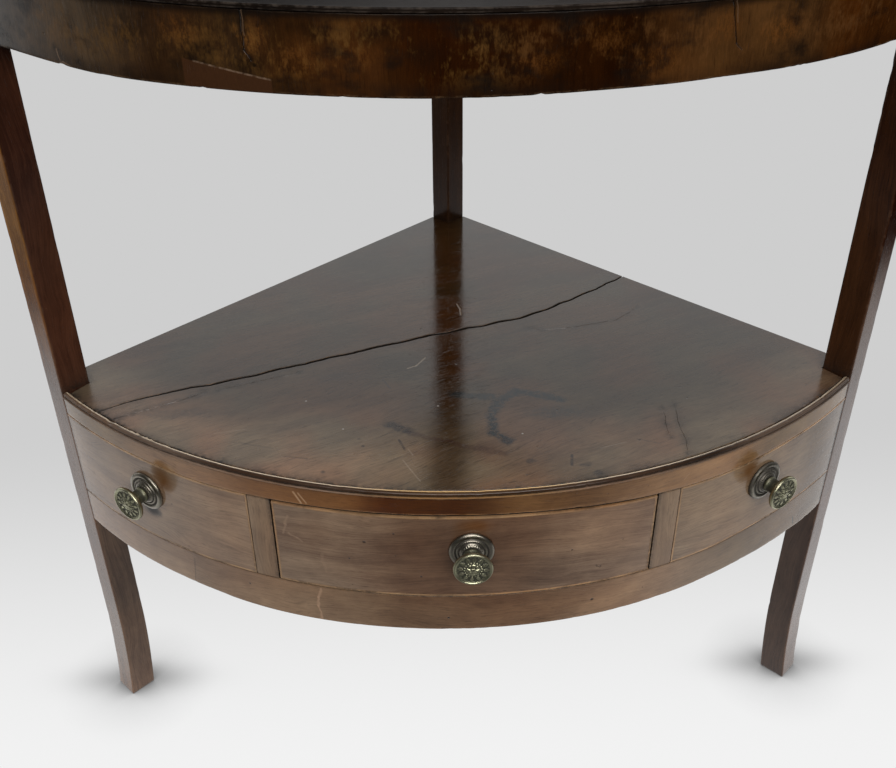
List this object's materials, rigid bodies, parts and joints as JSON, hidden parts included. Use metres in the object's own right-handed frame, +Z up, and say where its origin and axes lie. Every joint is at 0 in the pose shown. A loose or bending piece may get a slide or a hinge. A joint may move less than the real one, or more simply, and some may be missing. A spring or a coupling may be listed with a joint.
{
  "type": "corner washstand",
  "caption": "Bow-fronted corner washstand with a drawer tier and shelf below and a pierced basin top with splash-back above.",
  "frame": {"origin": "floor level, under the middle of the overall plan box", "axes": "+Z up, -Y to the bowed front with the drawer, +Y to the back corner, +X to the right seen from the front"},
  "size_m": [0.6152, 0.4652, 0.7238],
  "materials": {
    "mahogany": "old glossy polish, reddish brown, worn edges",
    "mahogany_dark": "old glossy polish, very dark figured veneer",
    "boxwood": "polished light line inlay, darkened by age",
    "pine": "unpolished, aged",
    "oak": "unpolished, aged drawer lining",
    "brass": "stamped, pale greenish patina in the hollows",
    "bronze": "dark brown-grey patina, rubbed on the rims"
  },
  "bodies": {
    "stand": {"leg_front_left": "mahogany", "leg_front_right": "mahogany", "leg_back": "mahogany", "case_side_left": "mahogany", "case_side_right": "mahogany", "frieze_side_left": "mahogany", "frieze_side_right": "mahogany", "rail_lower_front": "mahogany", "rail_upper_front": "mahogany", "stile_left": "mahogany", "stile_right": "mahogany", "dummy_drawer_left": "mahogany", "dummy_drawer_right": "mahogany", "shelf_board_rear": "mahogany", "shelf_board_front": "mahogany", "shelf_edge_bead": "mahogany", "frieze_front": "mahogany_dark", "top_board": "mahogany_dark", "splashback_left": "mahogany_dark", "splashback_right": "mahogany_dark", "stringing_dummy_left": "boxwood", "stringing_dummy_right": "boxwood", "drawer_runner_left": "pine", "drawer_runner_right": "pine", "drawer_kicker_left": "pine", "drawer_kicker_right": "pine", "drawer_stop_left": "pine", "drawer_stop_right": "pine", "glue_block_back_left": "pine", "glue_block_back_right": "pine", "glue_block_front_left": "pine", "glue_block_front_right": "pine", "frieze_block_left": "pine", "frieze_block_right": "pine", "splash_dowel_left_back": "pine", "splash_dowel_left_front": "pine", "splash_dowel_right_back": "pine", "splash_dowel_right_front": "pine", "knob_left": "brass", "knob_right": "brass", "rose_left": "bronze", "rose_right": "bronze", "knob_nut_left": "bronze", "knob_nut_right": "bronze"},
    "drawer": {"drawer_front": "mahogany", "stringing_drawer": "boxwood", "drawer_side_left": "oak", "drawer_side_right": "oak", "drawer_back": "oak", "drawer_bottom": "oak", "rose_centre": "bronze", "knob_centre": "brass", "knob_nut_centre": "bronze"}
  },
  "joints": [
    {"name": "drawer_slide", "type": "slide", "parent": "stand", "child": "drawer", "axis": [0, -1, 0], "range_m": [0, 0.2]}
  ]
}
